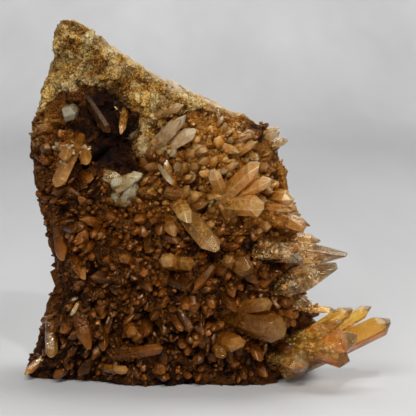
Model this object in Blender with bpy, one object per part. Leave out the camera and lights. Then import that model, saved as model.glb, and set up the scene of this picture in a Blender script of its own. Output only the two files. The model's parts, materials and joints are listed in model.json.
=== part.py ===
"""Golden healer quartz cluster.

A broken plate of rusty matrix rock stands on its flat foot. Small quartz points are grown into its front, and larger
points and sprays of points stand out of it. Z is up, the crystals face -Y, and the origin is the middle of the
bounding box's bottom. Tables are in millimetres, and the meshes are in metres.
"""

import math
import random

import bmesh
import bpy
from mathutils import Matrix, Vector, noise
from mathutils.bvhtree import BVHTree

MM = 0.001

# The front view. The eye looks at the middle, and a place (x, z) in the tables is on the plane through the middle
# that faces the eye, x to the right and z upwards.
EYE = Vector((0.0, -1100.0, 245.0))
MIDDLE = Vector((0.0, 0.0, 105.0))
# The rock is cut off flat at this height to make its foot. When all is built, this place moves to the origin.
FOOT_HEIGHT = 3.5
BASE_CENTRE = Vector((-1.35, -12.65, FOOT_HEIGHT))

# Outline of the rock in the front view, clockwise from the peak.
OUTLINE = (
    (-87, 218), (-80, 217), (-72, 213), (-62, 204), (-57, 200), (-29, 184), (1, 169), (27, 157), (36, 153),
    (39, 144), (41, 134), (46, 122), (49, 106), (55, 88), (54, 68), (55, 52), (61, 40), (66, 28),
    (67, 16), (58, 8), (44, 3), (30, -16), (-50, -16), (-62, -2), (-72, 1), (-90, 1.5), (-110, 4),
    (-105, 15), (-97, 37), (-90, 58), (-87, 66), (-93, 84), (-99, 106), (-103, 124), (-106, 143),
    (-103, 156), (-99, 164), (-100, 175), (-95, 182), (-91, 192), (-91, 200), (-92, 209),
)
STAR_CENTRE = (-25.0, 90.0)
RIM_POINTS = 96
# Each ring of the plate: its share of the outline's size, and its share of the depth to the front (-) or back (+).
RINGS = (
    (0.30, -1.0), (0.60, -1.0), (0.82, -0.97), (0.93, -0.85), (0.99, -0.55), (1.0, -0.2), (1.0, 0.35),
    (0.99, 0.7), (0.94, 0.9), (0.82, 0.98), (0.60, 1.0), (0.30, 1.0),
)
# Depth of the plate's two faces from its middle plane, against height: (height, front, back).
DEPTHS = ((-20, 33, 34), (0, 34, 36), (60, 38, 38), (110, 34, 37), (160, 23, 31), (225, 11, 15))
# Swellings (+) and hollows (-) of the front: (x, z, radius in x, radius in z, rise).
SWELLS = (
    (15, 95, 48, 55, 10),
    (-20, 45, 60, 40, 5),
    (-56, 150, 17, 27, -15),
    (-80, 150, 14, 20, 5),
    (-28, 165, 18, 16, 6),
    (-75, 92, 22, 16, -5),
    (-62, 18, 30, 18, -6),
)
WING_THINS = (-112.0, -55.0, 0.75)
EAST_THINS = (75.0, 35.0, 0.62)

NOISE_SEED = 10
ROCK_VOXEL = 3.2
# Broken facets of the rock: (cell size, tilt, step between cells), and smooth lumps: (size, height).
ROCK_FACETS = ((34.0, 0.22, 2.2), (15.0, 0.28, 1.4))
ROCK_LUMPS = ((50.0, 3.5), (9.0, 1.2))
# The share of the roughness that is left at the rim, so that the outline holds.
RIM_LUMPS = 0.2
ROCK_TRIANGLES = 1750

# Druse: small points grown into the rock, on a loose grid of this step, each with its own width and height.
DRUSE_SEED = 7
DRUSE_STEP = 13.4
DRUSE_WIDTH = (5.6, 9.2)
DRUSE_HEIGHT = (0.5, 1.1)
DRUSE_CAP = 0.55
DRUSE_CLEAR = 0.8
# Where druse grows: the edge of the field in the front view, and a patch of the east side as (y, z) ranges.
DRUSE_FIELD = (
    (-101, 156), (-84, 152), (-74, 138), (-60, 124), (-42, 124), (-34, 138), (-26, 152), (-18, 158), (4, 158),
    (22, 153), (34, 150), (38, 140), (45, 120), (52, 92), (52, 60), (60, 36), (62, 14), (44, 6), (-54, 6),
    (-100, 9), (-90, 38), (-83, 58), (-82, 68), (-88, 86), (-94, 106), (-99, 130), (-101, 145),
)
EAST_FIELD = ((-26.0, 12.0), (16.0, 104.0))
# Places in the front view where no druse grows: (x, z, radius).
CLEARINGS = ((-50, 117, 13), (-84, 162, 10), (-56, 152, 14), (55, 30, 11), (44, 142, 12), (46, 123, 9))
GROWTH_CENTRE = (-22.0, 108.0)
GROWTH_SPREAD = 95.0

# The hole that a large point sits in is this much bigger than the point.
SOCKET_GAP = 0.4
# How deep a point is grown into the rock, as a share of its width.
ROOT_SINK = 0.75
# The short ridge in which a point ends, as a share of its radius.
RIDGE = 0.24

# Large points, in nodes of one point or of several grown together. Each is (root x, root z, tip x, tip z, forward,
# width, flatness, roll, cap). Root and tip are places in the front view, and forward is how far the tip stands out
# from the root towards the viewer. Flatness is thickness over width, roll turns the point about its own axis in
# degrees, and cap is the pointed end's length over the width.
POINTS = {
    "drusy_prism_left": (
        (-80, 141, -90.5, 117.5, 15, 12.0, 0.75, 10, 0.3),
        (-75, 141, -72, 131, 12, 8.0, 0.9, 40, 0.4),
        (-83, 143, -86, 134, 14, 8.5, 1.0, 0, 0.4),
    ),
    "round_point_upper_left": ((-82, 163, -85, 160, 12, 9.5, 1.0, 15, 0.55),),
    "pocket_long_point": ((-70, 167, -59, 150, 10, 7.4, 0.9, 20, 0.4),),
    "pocket_short_point": ((-50, 161, -52, 149, 8, 5.5, 0.9, 0, 0.9),),
    "clear_sliver": ((-28, 129, -21, 119, 10, 4.6, 1.0, 0, 0.9),),
    "bright_twin_point": (
        (-31, 143, -16, 158, 15, 11.5, 0.8, 30, 0.8),
        (-25, 146, -13, 161, 7, 9.0, 0.7, 10, 0.7),
        (-25, 142, -7, 152, 8, 10.0, 0.6, 70, 0.5),
    ),
    "pale_ledge_point": ((-26, 162, -14, 167, 7, 7.5, 0.8, 0, 0.6),),
    "pale_quartz_patch": ((-50, 117, -49, 118, 6, 15.0, 0.8, 25, 0.3),),
    "fan_of_points": (
        (10, 112, 31, 131.5, 20, 14.0, 0.65, 60, 0.5),
        (13, 110, 38, 122, 17, 11.0, 0.8, 20, 0.4),
        (10, 108, 34, 106, 23, 13.5, 0.7, 80, 0.45),
        (9, 112, 3, 128, 15, 9.5, 0.9, 0, 0.5),
    ),
    "small_point_upper_right": ((18, 137, 30, 145, 8, 6.5, 0.8, 0, 0.9),),
    "long_blade_right": (
        (32, 104, 58, 92, 12, 12.5, 0.6, 80, 1.2),
        (33, 106, 50, 103, 10, 9.0, 0.8, 10, 0.7),
    ),
    "round_point_right": ((42, 111, 51, 110, 8, 11.0, 1.0, 0, 0.45),),
    "east_edge_point_upper": ((49, 99, 62, 94, 3, 7.5, 0.9, 0, 0.8),),
    "east_edge_point_lower": ((48, 88, 68, 85, 4, 8.0, 0.9, 30, 0.7),),
    "sharp_point_right": (
        (40, 79, 84, 77, 16, 15.5, 0.8, 30, 1.15),
        (37, 82, 57, 73, 22, 11.0, 0.8, 0, 0.8),
    ),
    "broad_point_right": (
        (46, 59, 78, 70.5, 9, 17.0, 0.7, 65, 0.9),
        (44, 58, 54, 57, 15, 10.0, 1.0, 0, 0.5),
    ),
    "round_points_centre": (
        (18, 71.5, 24, 68, 18, 13.5, 0.9, 20, 0.5),
        (14, 74, 12, 72, 15, 9.0, 1.0, 0, 0.6),
    ),
    "corner_spray": (
        (56, 12, 109.8, 37.5, 10, 16.5, 0.75, 30, 0.45),
        (56, 20, 98.5, 46, 5, 10.5, 0.8, 0, 0.6),
        (55, 24, 87, 45, 3, 11.5, 0.8, 20, 0.5),
        (54, 28, 82, 36.5, 8, 9.0, 0.8, 0, 0.6),
        (52, 20, 90, 27, 17, 19.0, 0.7, 50, 0.5),
        (52, 24, 84.8, 12.8, 19, 13.5, 0.85, 0, 0.35),
        (46, 16, 59, 10, 14, 17.0, 0.8, 15, 0.3),
    ),
    "east_points": (
        (52, 46, 79, 43, 3, 6.5, 0.8, 0, 0.9),
        (50, 48, 60, 48.5, 9, 9.5, 0.9, 0, 0.6),
    ),
    "big_amber_point": (
        (20, 39, 47, 30, 22, 18.5, 0.8, 75, 0.45),
        (19, 45, 38, 48, 18, 10.5, 0.9, 0, 0.45),
    ),
    "amber_foot_points": (
        (9, 27, 21, 22, 18, 12.0, 0.9, 10, 0.5),
        (5, 24, 10, 15, 14, 9.5, 0.9, 30, 0.6),
    ),
    "amber_hanging_point": ((27, 23, 32, 13, 12, 8.5, 0.9, 0, 0.7),),
    "centre_point": (
        (-13, 103, 6, 79, 21, 13.5, 0.8, 30, 0.45),
        (-16, 106, -11, 96, 15, 11.0, 0.9, 0, 0.6),
    ),
    "left_of_centre_point": ((-24, 98, -20, 88, 13, 9.5, 0.9, 0, 0.6),),
    "amber_round_points": (
        (-17, 71, -27, 75, 16, 11.0, 0.9, 20, 0.5),
        (-11, 71, -15, 73, 12, 12.0, 0.8, 0, 0.6),
    ),
    "small_amber_point": ((-46, 73, -52, 76, 11, 8.0, 0.9, 0, 0.6),),
    "west_rusty_point": ((-64, 96, -77, 98, 8, 8.0, 0.9, 0, 0.8),),
    "west_short_point": ((-69, 85, -74, 78, 9, 7.0, 0.9, 0, 0.8),),
    "notch_rusty_point": ((-77, 71, -74, 62, 8, 8.5, 0.8, 0, 0.7),),
    "west_edge_point": ((-88, 87, -87, 73, 6, 9.0, 0.9, 0, 0.7),),
    "long_point_lower_left": ((-75.5, 40, -71, 20, 12, 11.5, 0.75, 15, 0.8),),
    "wide_point_lower_left": ((-88.5, 61, -82.5, 46.5, 11, 10.5, 0.75, 0, 0.5),),
    "west_corner_points": (
        (-94, 32, -93.5, 15, 9, 8.0, 0.9, 0, 0.45),
        (-95, 37, -83, 34.5, 13, 6.5, 0.9, 0, 0.5),
    ),
    "west_foot_point": ((-101, 13, -110, 5, 4, 7.0, 0.8, 0, 0.7),),
    "round_point_foot": ((-47, 34, -44.5, 29, 14, 8.2, 1.0, 0, 0.5),),
    "lying_point_foot": ((-50, 17, -27, 21, 14, 10.0, 0.8, 0, 0.5),),
    "pale_point_foot": ((-60, 9, -48, 7.5, 12, 7.0, 0.8, 0, 0.5),),
}

# These points are stained by rust, and the others are golden.
RUSTY = (
    "pocket_long_point", "amber_foot_points", "amber_hanging_point", "small_amber_point", "west_rusty_point",
    "west_short_point", "notch_rusty_point", "west_edge_point", "wide_point_lower_left", "long_point_lower_left",
    "round_point_foot", "lying_point_foot",
)

# Colours (red, green, blue, alpha) and roughness of the plain materials.
FINISHES = {
    "matrix": ((0.36, 0.22, 0.10, 1.0), 0.9),
    "golden_quartz": ((0.78, 0.58, 0.34, 0.8), 0.15),
    "rusty_quartz": ((0.45, 0.20, 0.08, 0.9), 0.25),
}


def ramp(x, start, end):
    """0 at start, 1 at end, and smooth in between."""
    t = min(1.0, max(0.0, (x - start) / (end - start)))
    return t * t * (3 - 2 * t)


def sight(x, z):
    """The direction in which the eye sees the place (x, z) of the front view."""
    ahead = (MIDDLE - EYE).normalized()
    up = Vector((1, 0, 0)).cross(ahead)
    return (MIDDLE + Vector((x, 0, 0)) + up * (z - MIDDLE.z) - EYE).normalized()


def along_sight(x, z, y):
    """The point at depth y that the eye sees at (x, z)."""
    direction = sight(x, z)
    return EYE + direction * ((y - EYE.y) / direction.y)


def depths_at(x, z):
    """How far the front and the back of the plate are from its middle plane."""
    low, high = next(pair for pair in zip(DEPTHS, DEPTHS[1:]) if z <= pair[1][0] or pair[1] is DEPTHS[-1])
    t = (z - low[0]) / (high[0] - low[0])
    front, back = (low[k] + (high[k] - low[k]) * t for k in (1, 2))
    start, end, least = WING_THINS
    thin = least + (1 - least) * ramp(x, start, end)
    start, end, least = EAST_THINS
    thin *= least + (1 - least) * ramp(x, start, end)
    front *= thin
    back *= thin
    for at_x, at_z, wide, high_r, rise in SWELLS:
        far = ((x - at_x) / wide) ** 2 + ((z - at_z) / high_r) ** 2
        front += rise * math.exp(-far)
    return max(front, 4.0), back


def even_outline():
    """The outline at RIM_POINTS places, evenly spaced along it."""
    corners = [Vector(p) for p in OUTLINE] + [Vector(OUTLINE[0])]
    lengths = [(b - a).length for a, b in zip(corners, corners[1:])]
    total, points = sum(lengths), []
    for k in range(RIM_POINTS):
        left = total * k / RIM_POINTS
        for side, (a, b) in zip(lengths, zip(corners, corners[1:])):
            if left <= side:
                points.append(a.lerp(b, left / side))
                break
            left -= side
    return points


def plate_mesh():
    """The plain plate, made of rings of points between its front and its back."""
    bm = bmesh.new()
    rim = even_outline()
    centre = Vector(STAR_CENTRE)

    def vertex(flat, side):
        front, back = depths_at(flat.x, flat.y)
        return bm.verts.new(along_sight(flat.x, flat.y, side * (front if side < 0 else back)))

    rings = [[vertex(centre.lerp(p, size), side) for p in rim] for size, side in RINGS]
    ends = [vertex(centre, -1.0), vertex(centre, 1.0)]
    for one, two in zip(rings, rings[1:]):
        for k in range(RIM_POINTS):
            n = (k + 1) % RIM_POINTS
            bm.faces.new((one[k], one[n], two[n], two[k]))
    for k in range(RIM_POINTS):
        n = (k + 1) % RIM_POINTS
        bm.faces.new((ends[0], rings[0][n], rings[0][k]))
        bm.faces.new((ends[1], rings[-1][k], rings[-1][n]))
    bmesh.ops.recalc_face_normals(bm, faces=bm.faces)
    return bm


def object_of(name, bm):
    """Links a new object that holds this mesh."""
    mesh = bpy.data.meshes.new(name)
    bm.to_mesh(mesh)
    bm.free()
    obj = bpy.data.objects.new(name, mesh)
    bpy.context.scene.collection.objects.link(obj)
    return obj


def settle(obj):
    """Replaces the object's mesh by what its modifiers make of it."""
    graph = bpy.context.evaluated_depsgraph_get()
    made = bpy.data.meshes.new_from_object(obj.evaluated_get(graph))
    obj.modifiers.clear()
    obj.data = made
    return obj


def lumps_at(p):
    """How far the broken surface stands out of the plain plate at p."""
    rise = sum(high * noise.noise(p / wide) for wide, high in ROCK_LUMPS)
    for size, tilt, step in ROCK_FACETS:
        middle = noise.voronoi(p / size)[1][0] * size
        lean = noise.noise_vector(middle / 7.0 + Vector((31.0, 7.0, 3.0)))
        rise += tilt * lean.dot(p - middle) * 2 + step * noise.noise(middle / 5.0)
    return rise


def rim_share(normal):
    """The share of the roughness that a place keeps, by which way it faces."""
    return RIM_LUMPS + (1 - RIM_LUMPS) * ramp(abs(normal.y), 0.25, 0.9)


def bare_rock():
    """The rock without crystals, rough but with few faces, cut off flat at the foot."""
    noise.seed_set(NOISE_SEED)
    rock = object_of("matrix_rock", plate_mesh())
    remesh = rock.modifiers.new("even_faces", "REMESH")
    remesh.mode = "VOXEL"
    remesh.voxel_size = ROCK_VOXEL
    settle(rock)
    mesh = rock.data
    moved = [v.co + v.normal * lumps_at(v.co) * rim_share(v.normal) for v in mesh.vertices]
    for v, co in zip(mesh.vertices, moved):
        v.co = co
    thin = rock.modifiers.new("fewer_faces", "DECIMATE")
    mesh.calc_loop_triangles()
    thin.ratio = ROCK_TRIANGLES / len(mesh.loop_triangles)
    thin.use_collapse_triangulate = True
    settle(rock)
    bm = bmesh.new()
    bm.from_mesh(rock.data)
    cut = bmesh.ops.bisect_plane(
        bm, geom=bm.verts[:] + bm.edges[:] + bm.faces[:],
        plane_co=(0, 0, FOOT_HEIGHT), plane_no=(0, 0, -1), clear_outer=True
    )
    rim = [e for e in cut["geom_cut"] if isinstance(e, bmesh.types.BMEdge)]
    bmesh.ops.holes_fill(bm, edges=rim)
    bmesh.ops.triangulate(bm, faces=bm.faces)
    bm.to_mesh(rock.data)
    bm.free()
    return rock


def quartz(bm, root, tip, width, flatness=1.0, roll=0.0, cap=0.75, grow=0.0, lifts=(0,) * 6):
    """Adds one quartz point: a six-sided prism whose six end faces meet along a short ridge."""
    axis = (tip - root).normalized()
    sink = ROOT_SINK * width + grow
    length = (tip - root).length + sink + grow
    turn = axis.to_track_quat("Z", "Y").to_matrix() @ Matrix.Rotation(math.radians(roll), 3, "Z")
    radius = width / 2 + grow
    cap_length = min(0.6 * length, cap * width)
    start = root - axis * sink
    rings = []
    for height, size, free in ((0.0, 0.92, 0.0), (length - cap_length, 1.0, cap_length)):
        ring = []
        for k, lift in enumerate(lifts):
            angle = math.radians(60 * k)
            flat = Vector((math.cos(angle), math.sin(angle) * flatness)) * radius * size
            ring.append(bm.verts.new(start + turn @ Vector((flat.x, flat.y, height + lift * free))))
        rings.append(ring)
    low, high = rings
    east, west = (bm.verts.new(start + turn @ Vector((side * RIDGE * radius, 0, length))) for side in (1, -1))
    for k in range(6):
        n = (k + 1) % 6
        bm.faces.new((low[k], low[n], high[n], high[k]))
    for a, b, end in ((5, 0, east), (0, 1, east), (2, 3, west), (3, 4, west)):
        bm.faces.new((high[a], high[b], end))
    bm.faces.new((high[1], high[2], west, east))
    bm.faces.new((high[4], high[5], east, west))
    bm.faces.new(low[::-1])


def uneven(rng):
    """How much each side's end face is lifted or lowered, as a share of the pointed end."""
    return tuple(rng.uniform(-0.3, 0.3) for _ in range(6))


def inside(x, z, corners):
    """Whether (x, z) lies in the closed outline."""
    hits = 0
    for (ax, az), (bx, bz) in zip(corners, corners[1:] + corners[:1]):
        if (az > z) != (bz > z) and x < ax + (z - az) * (bx - ax) / (bz - az):
            hits += 1
    return hits % 2 == 1


def grid(x_range, z_range, rng):
    """Places on a loose grid, each moved a little at random."""
    rows = int((z_range[1] - z_range[0]) / DRUSE_STEP)
    columns = int((x_range[1] - x_range[0]) / DRUSE_STEP)
    for row in range(rows + 1):
        for column in range(columns + 1):
            shift = 0.5 * (row % 2)
            x = x_range[0] + (column + shift + rng.uniform(-0.3, 0.3)) * DRUSE_STEP
            z = z_range[0] + (row + rng.uniform(-0.3, 0.3)) * DRUSE_STEP
            yield x, z


def druse_rays(rng):
    """Sight lines to the druse: (start, direction) from the viewer over the front, and from the east."""
    xs, zs = zip(*DRUSE_FIELD)
    for x, z in grid((min(xs), max(xs)), (min(zs), max(zs)), rng):
        if inside(x, z, DRUSE_FIELD) and all(math.hypot(x - a, z - b) > r for a, b, r in CLEARINGS):
            yield EYE, sight(x, z)
    for y, z in grid(*EAST_FIELD, rng):
        yield Vector((-EYE.y, y, z)), Vector((-1, 0, 0))


def growth_direction(at, normal, rng):
    """Points stand out from the rock and fan away from the middle of the front."""
    out = Vector((at.x - GROWTH_CENTRE[0], 0, at.z - GROWTH_CENTRE[1])) / GROWTH_SPREAD
    wild = Vector([rng.uniform(-0.45, 0.45) for _ in range(3)])
    return (normal + out + wild).normalized()


def far_from(a, b, p):
    """Distance of p from the stretch a to b."""
    t = max(0.0, min(1.0, (p - a).dot(b - a) / (b - a).length_squared))
    return (a.lerp(b, t) - p).length


def druse(tree, large, rng):
    """(root, tip, width, roll, lifts) of each small point that stays clear of the large ones."""
    for start, direction in druse_rays(rng):
        at, normal, _, _ = tree.ray_cast(start, direction)
        width = rng.uniform(*DRUSE_WIDTH)
        height = width * rng.uniform(*DRUSE_HEIGHT)
        roll = rng.uniform(0, 60)
        lifts = uneven(rng)
        if at is None:
            continue
        tip = at + growth_direction(at, normal, rng) * height
        clear = all(
            min(far_from(a, b, at), far_from(a, b, tip)) > DRUSE_CLEAR * (wide + width) / 2 for a, b, wide in large
        )
        if clear and min(at.z, tip.z) > FOOT_HEIGHT + width / 2:
            yield at, tip, width, roll, lifts


def placed(tree, point):
    """Root and tip of a large point, in the plate's own frame."""
    root_x, root_z, tip_x, tip_z, forward = point[:5]
    root, _, _, _ = tree.ray_cast(EYE, sight(root_x, root_z))
    if root is None:
        raise ValueError(f"no rock behind {root_x}, {root_z}")
    return root, along_sight(tip_x, tip_z, root.y - forward)


def joined(target, operation, tools):
    """Runs a Boolean of the target with all the tools at once, and removes them."""
    if not tools:
        return
    group = bpy.data.collections.new(operation.lower())
    for tool in tools:
        group.objects.link(tool)
    step = target.modifiers.new(operation.lower(), "BOOLEAN")
    step.operation = operation
    step.operand_type = "COLLECTION"
    step.collection = group
    settle(target)
    for tool in tools:
        bpy.data.objects.remove(tool)
    bpy.data.collections.remove(group)


def keep_main_body(obj):
    """Drops the crumbs that a cut leaves loose."""
    bm = bmesh.new()
    bm.from_mesh(obj.data)
    left, bodies = set(bm.verts), []
    while left:
        body, edge = set(), [next(iter(left))]
        while edge:
            v = edge.pop()
            if v not in body:
                body.add(v)
                edge.extend(e.other_vert(v) for e in v.link_edges)
        left -= body
        bodies.append(body)
    main_body = max(bodies, key=len)
    bmesh.ops.delete(bm, geom=[v for v in bm.verts if v not in main_body], context="VERTS")
    bm.to_mesh(obj.data)
    bm.free()


def point_object(name, root, tip, point, lifts, grow=0.0):
    """One large point as an object of its own."""
    bm = bmesh.new()
    width, flatness, roll, cap = point[5:]
    quartz(bm, root, tip, width, flatness, roll, cap, grow=grow, lifts=lifts)
    return object_of(name, bm)


def finish(obj, slot):
    """Gives the object its plain material, moves it to its place and turns it into metres."""
    colour, roughness = FINISHES[slot]
    material = bpy.data.materials.get(slot) or bpy.data.materials.new(slot)
    material.use_nodes = True
    shader = material.node_tree.nodes["Principled BSDF"]
    shader.inputs["Base Color"].default_value = colour
    shader.inputs["Roughness"].default_value = roughness
    obj.data.materials.clear()
    obj.data.materials.append(material)
    obj.data.transform(Matrix.Scale(MM, 4) @ Matrix.Translation(-BASE_CENTRE))


def main():
    for obj in list(bpy.data.objects):
        bpy.data.objects.remove(obj)
    rock = bare_rock()
    tree = BVHTree.FromPolygons([v.co for v in rock.data.vertices], [p.vertices for p in rock.data.polygons])
    rng = random.Random(DRUSE_SEED)

    large, sockets = [], []
    for name, points in POINTS.items():
        grown = []
        for point in points:
            root, tip = placed(tree, point)
            lifts = uneven(rng)
            large.append((root, tip, point[5]))
            grown.append(point_object(name, root, tip, point, lifts))
            sockets.append(point_object("socket", root, tip, point, lifts, grow=SOCKET_GAP))
        joined(grown[0], "UNION", grown[1:])
        grown[0].name = name
        finish(grown[0], "rusty_quartz" if name in RUSTY else "golden_quartz")

    small = []
    for root, tip, width, roll, lifts in druse(tree, large, rng):
        bm = bmesh.new()
        quartz(bm, root, tip, width, roll=roll, cap=DRUSE_CAP, lifts=lifts)
        small.append(object_of("druse", bm))
    joined(rock, "UNION", small)
    joined(rock, "DIFFERENCE", sockets)
    keep_main_body(rock)
    finish(rock, "matrix")


main()
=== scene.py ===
import math
import random

import bmesh
import bpy
from mathutils import Matrix, Vector, noise
from mathutils.bvhtree import BVHTree
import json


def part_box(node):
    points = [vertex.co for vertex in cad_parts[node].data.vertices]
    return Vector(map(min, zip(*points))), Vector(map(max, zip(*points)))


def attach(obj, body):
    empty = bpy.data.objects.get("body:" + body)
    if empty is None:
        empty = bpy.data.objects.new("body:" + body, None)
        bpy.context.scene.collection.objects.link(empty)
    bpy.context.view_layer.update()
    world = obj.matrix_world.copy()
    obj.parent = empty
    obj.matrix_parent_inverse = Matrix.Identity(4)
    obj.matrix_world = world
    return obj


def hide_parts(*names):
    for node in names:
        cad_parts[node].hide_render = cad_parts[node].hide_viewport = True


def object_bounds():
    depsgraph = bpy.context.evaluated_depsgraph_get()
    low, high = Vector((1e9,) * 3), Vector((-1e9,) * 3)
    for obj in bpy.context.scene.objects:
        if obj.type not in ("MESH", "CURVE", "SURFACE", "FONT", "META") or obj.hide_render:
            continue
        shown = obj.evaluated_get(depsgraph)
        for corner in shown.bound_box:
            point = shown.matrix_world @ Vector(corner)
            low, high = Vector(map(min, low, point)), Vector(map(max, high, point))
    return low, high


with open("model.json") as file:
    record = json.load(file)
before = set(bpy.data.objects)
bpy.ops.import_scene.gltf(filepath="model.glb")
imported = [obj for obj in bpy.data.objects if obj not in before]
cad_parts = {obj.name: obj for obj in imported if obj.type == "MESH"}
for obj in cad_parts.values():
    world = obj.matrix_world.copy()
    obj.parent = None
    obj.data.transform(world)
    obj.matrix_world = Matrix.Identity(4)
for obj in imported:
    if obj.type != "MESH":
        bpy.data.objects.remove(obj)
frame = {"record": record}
CAD_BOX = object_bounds()

# The looks of the golden healer quartz cluster. Tables and meshes are in millimetres in the plate's own frame, and
# piece_of() turns them into metres in the shared frame.

# The front view. The eye looks at the middle, and a place (x, z) in the tables is on the plane through the middle
# that faces the eye, x to the right and z upwards.
EYE = Vector((0.0, -1100.0, 245.0))
MIDDLE = Vector((0.0, 0.0, 105.0))
AHEAD = (MIDDLE - EYE).normalized()
UP = Vector((1, 0, 0)).cross(AHEAD)
# The rock is cut off flat at this height to make its foot. When all is built, this place moves to the origin.
FOOT_HEIGHT = 3.5
BASE_CENTRE = Vector((-1.35, -12.65, FOOT_HEIGHT))

# Outline of the rock in the front view, clockwise from the peak.
OUTLINE = (
    (-87, 218), (-80, 217), (-72, 213), (-62, 204), (-57, 200), (-29, 184), (1, 169), (27, 157), (36, 153),
    (39, 144), (41, 134), (46, 122), (49, 106), (55, 88), (54, 68), (55, 52), (61, 40), (66, 28),
    (67, 16), (58, 8), (44, 3), (30, -16), (-50, -16), (-62, -2), (-72, 1), (-90, 1.5), (-110, 4),
    (-105, 15), (-97, 37), (-90, 58), (-87, 66), (-93, 84), (-99, 106), (-103, 124), (-106, 143),
    (-103, 156), (-99, 164), (-100, 175), (-95, 182), (-91, 192), (-91, 200), (-92, 209),
)
STAR_CENTRE = (-25.0, 90.0)
RIM_POINTS = 96
# Each ring of the plate: its share of the outline's size, and its share of the depth to the front (-) or back (+).
RINGS = (
    (0.30, -1.0), (0.60, -1.0), (0.82, -0.97), (0.93, -0.85), (0.99, -0.55), (1.0, -0.2), (1.0, 0.35),
    (0.99, 0.7), (0.94, 0.9), (0.82, 0.98), (0.60, 1.0), (0.30, 1.0),
)
# Depth of the plate's two faces from its middle plane, against height: (height, front, back).
DEPTHS = ((-20, 33, 34), (0, 34, 36), (60, 38, 38), (110, 34, 37), (160, 23, 31), (225, 11, 15))
# Swellings (+) and hollows (-) of the front: (x, z, radius in x, radius in z, rise).
SWELLS = (
    (15, 95, 48, 55, 10), (-20, 45, 60, 40, 5), (-56, 150, 17, 27, -15), (-80, 150, 14, 20, 5),
    (-28, 165, 18, 16, 6), (-75, 92, 22, 16, -5), (-62, 18, 30, 18, -6),
)
# The plate thins towards both sides: (x where it is thinnest, x where it is whole, the least share).
WING_THINS = (-112.0, -55.0, 0.75)
EAST_THINS = (75.0, 35.0, 0.62)

NOISE_SEED = 10
ROCK_VOXEL = 3.2
# Broken facets of the rock: (cell size, tilt, step between cells), and smooth lumps: (size, height).
ROCK_FACETS = ((34.0, 0.22, 2.2), (15.0, 0.28, 1.4))
ROCK_LUMPS = ((50.0, 3.5), (9.0, 1.2))
# The share of the roughness that is left at the rim, so that the outline holds.
RIM_LUMPS = 0.2
ROCK_TRIANGLES = 1750

# Druse: small points grown into the rock, on a loose grid of this step, each with its own width and height.
DRUSE_SEED = 7
DRUSE_STEP = 13.4
DRUSE_WIDTH = (5.6, 9.2)
DRUSE_HEIGHT = (0.5, 1.1)
DRUSE_CAP = 0.55
DRUSE_CLEAR = 0.8
# Where druse grows: the edge of the field in the front view, and a patch of the east side as (y, z) ranges.
DRUSE_FIELD = (
    (-101, 156), (-84, 152), (-74, 138), (-60, 124), (-42, 124), (-34, 138), (-26, 152), (-18, 158), (4, 158),
    (22, 153), (34, 150), (38, 140), (45, 120), (52, 92), (52, 60), (60, 36), (62, 14), (44, 6), (-54, 6),
    (-100, 9), (-90, 38), (-83, 58), (-82, 68), (-88, 86), (-94, 106), (-99, 130), (-101, 145),
)
EAST_FIELD = ((-26.0, 12.0), (16.0, 104.0))
# Places in the front view where no druse grows: (x, z, radius).
CLEARINGS = ((-50, 117, 13), (-84, 162, 10), (-56, 152, 14), (55, 30, 11), (44, 142, 12), (46, 123, 9))
# Points lean away from this place of the front view, by their distance over the spread, and at random by the stray.
GROWTH_CENTRE = (-22.0, 108.0)
GROWTH_SPREAD = 95.0
GROWTH_STRAY = 0.45

# How deep a point is grown into the rock, as a share of its width.
ROOT_SINK = 0.75
# The short ridge in which a point ends, as a share of its radius.
RIDGE = 0.24

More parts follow.
